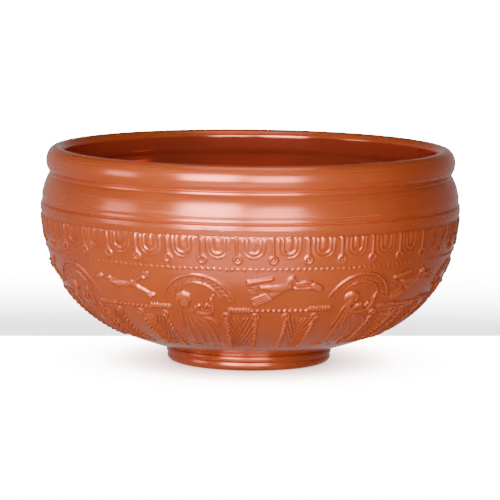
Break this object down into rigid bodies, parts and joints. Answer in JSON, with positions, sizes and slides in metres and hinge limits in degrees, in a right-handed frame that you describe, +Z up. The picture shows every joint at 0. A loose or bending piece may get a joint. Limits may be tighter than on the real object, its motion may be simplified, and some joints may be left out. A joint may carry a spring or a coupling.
{
  "type": "moulded relief bowl",
  "caption": "Deep hemispherical bowl of red gloss ware on a foot ring, with a rounded rim and a moulded frieze of eggs and darts, arches over draped figures, hounds and leaf columns",
  "frame": {"origin": "centre of the plane that the foot ring stands on", "axes": "+Z is up, out of the mouth; the side that the picture shows faces -Y, with +X to its right"},
  "size_m": [0.22, 0.22, 0.1126],
  "materials": {
    "red_slip": "glossy orange-red slip over fine red clay, worn to a softer shine on the raised parts"
  },
  "bodies": {
    "root": {"bowl": "red_slip"}
  },
  "joints": []
}
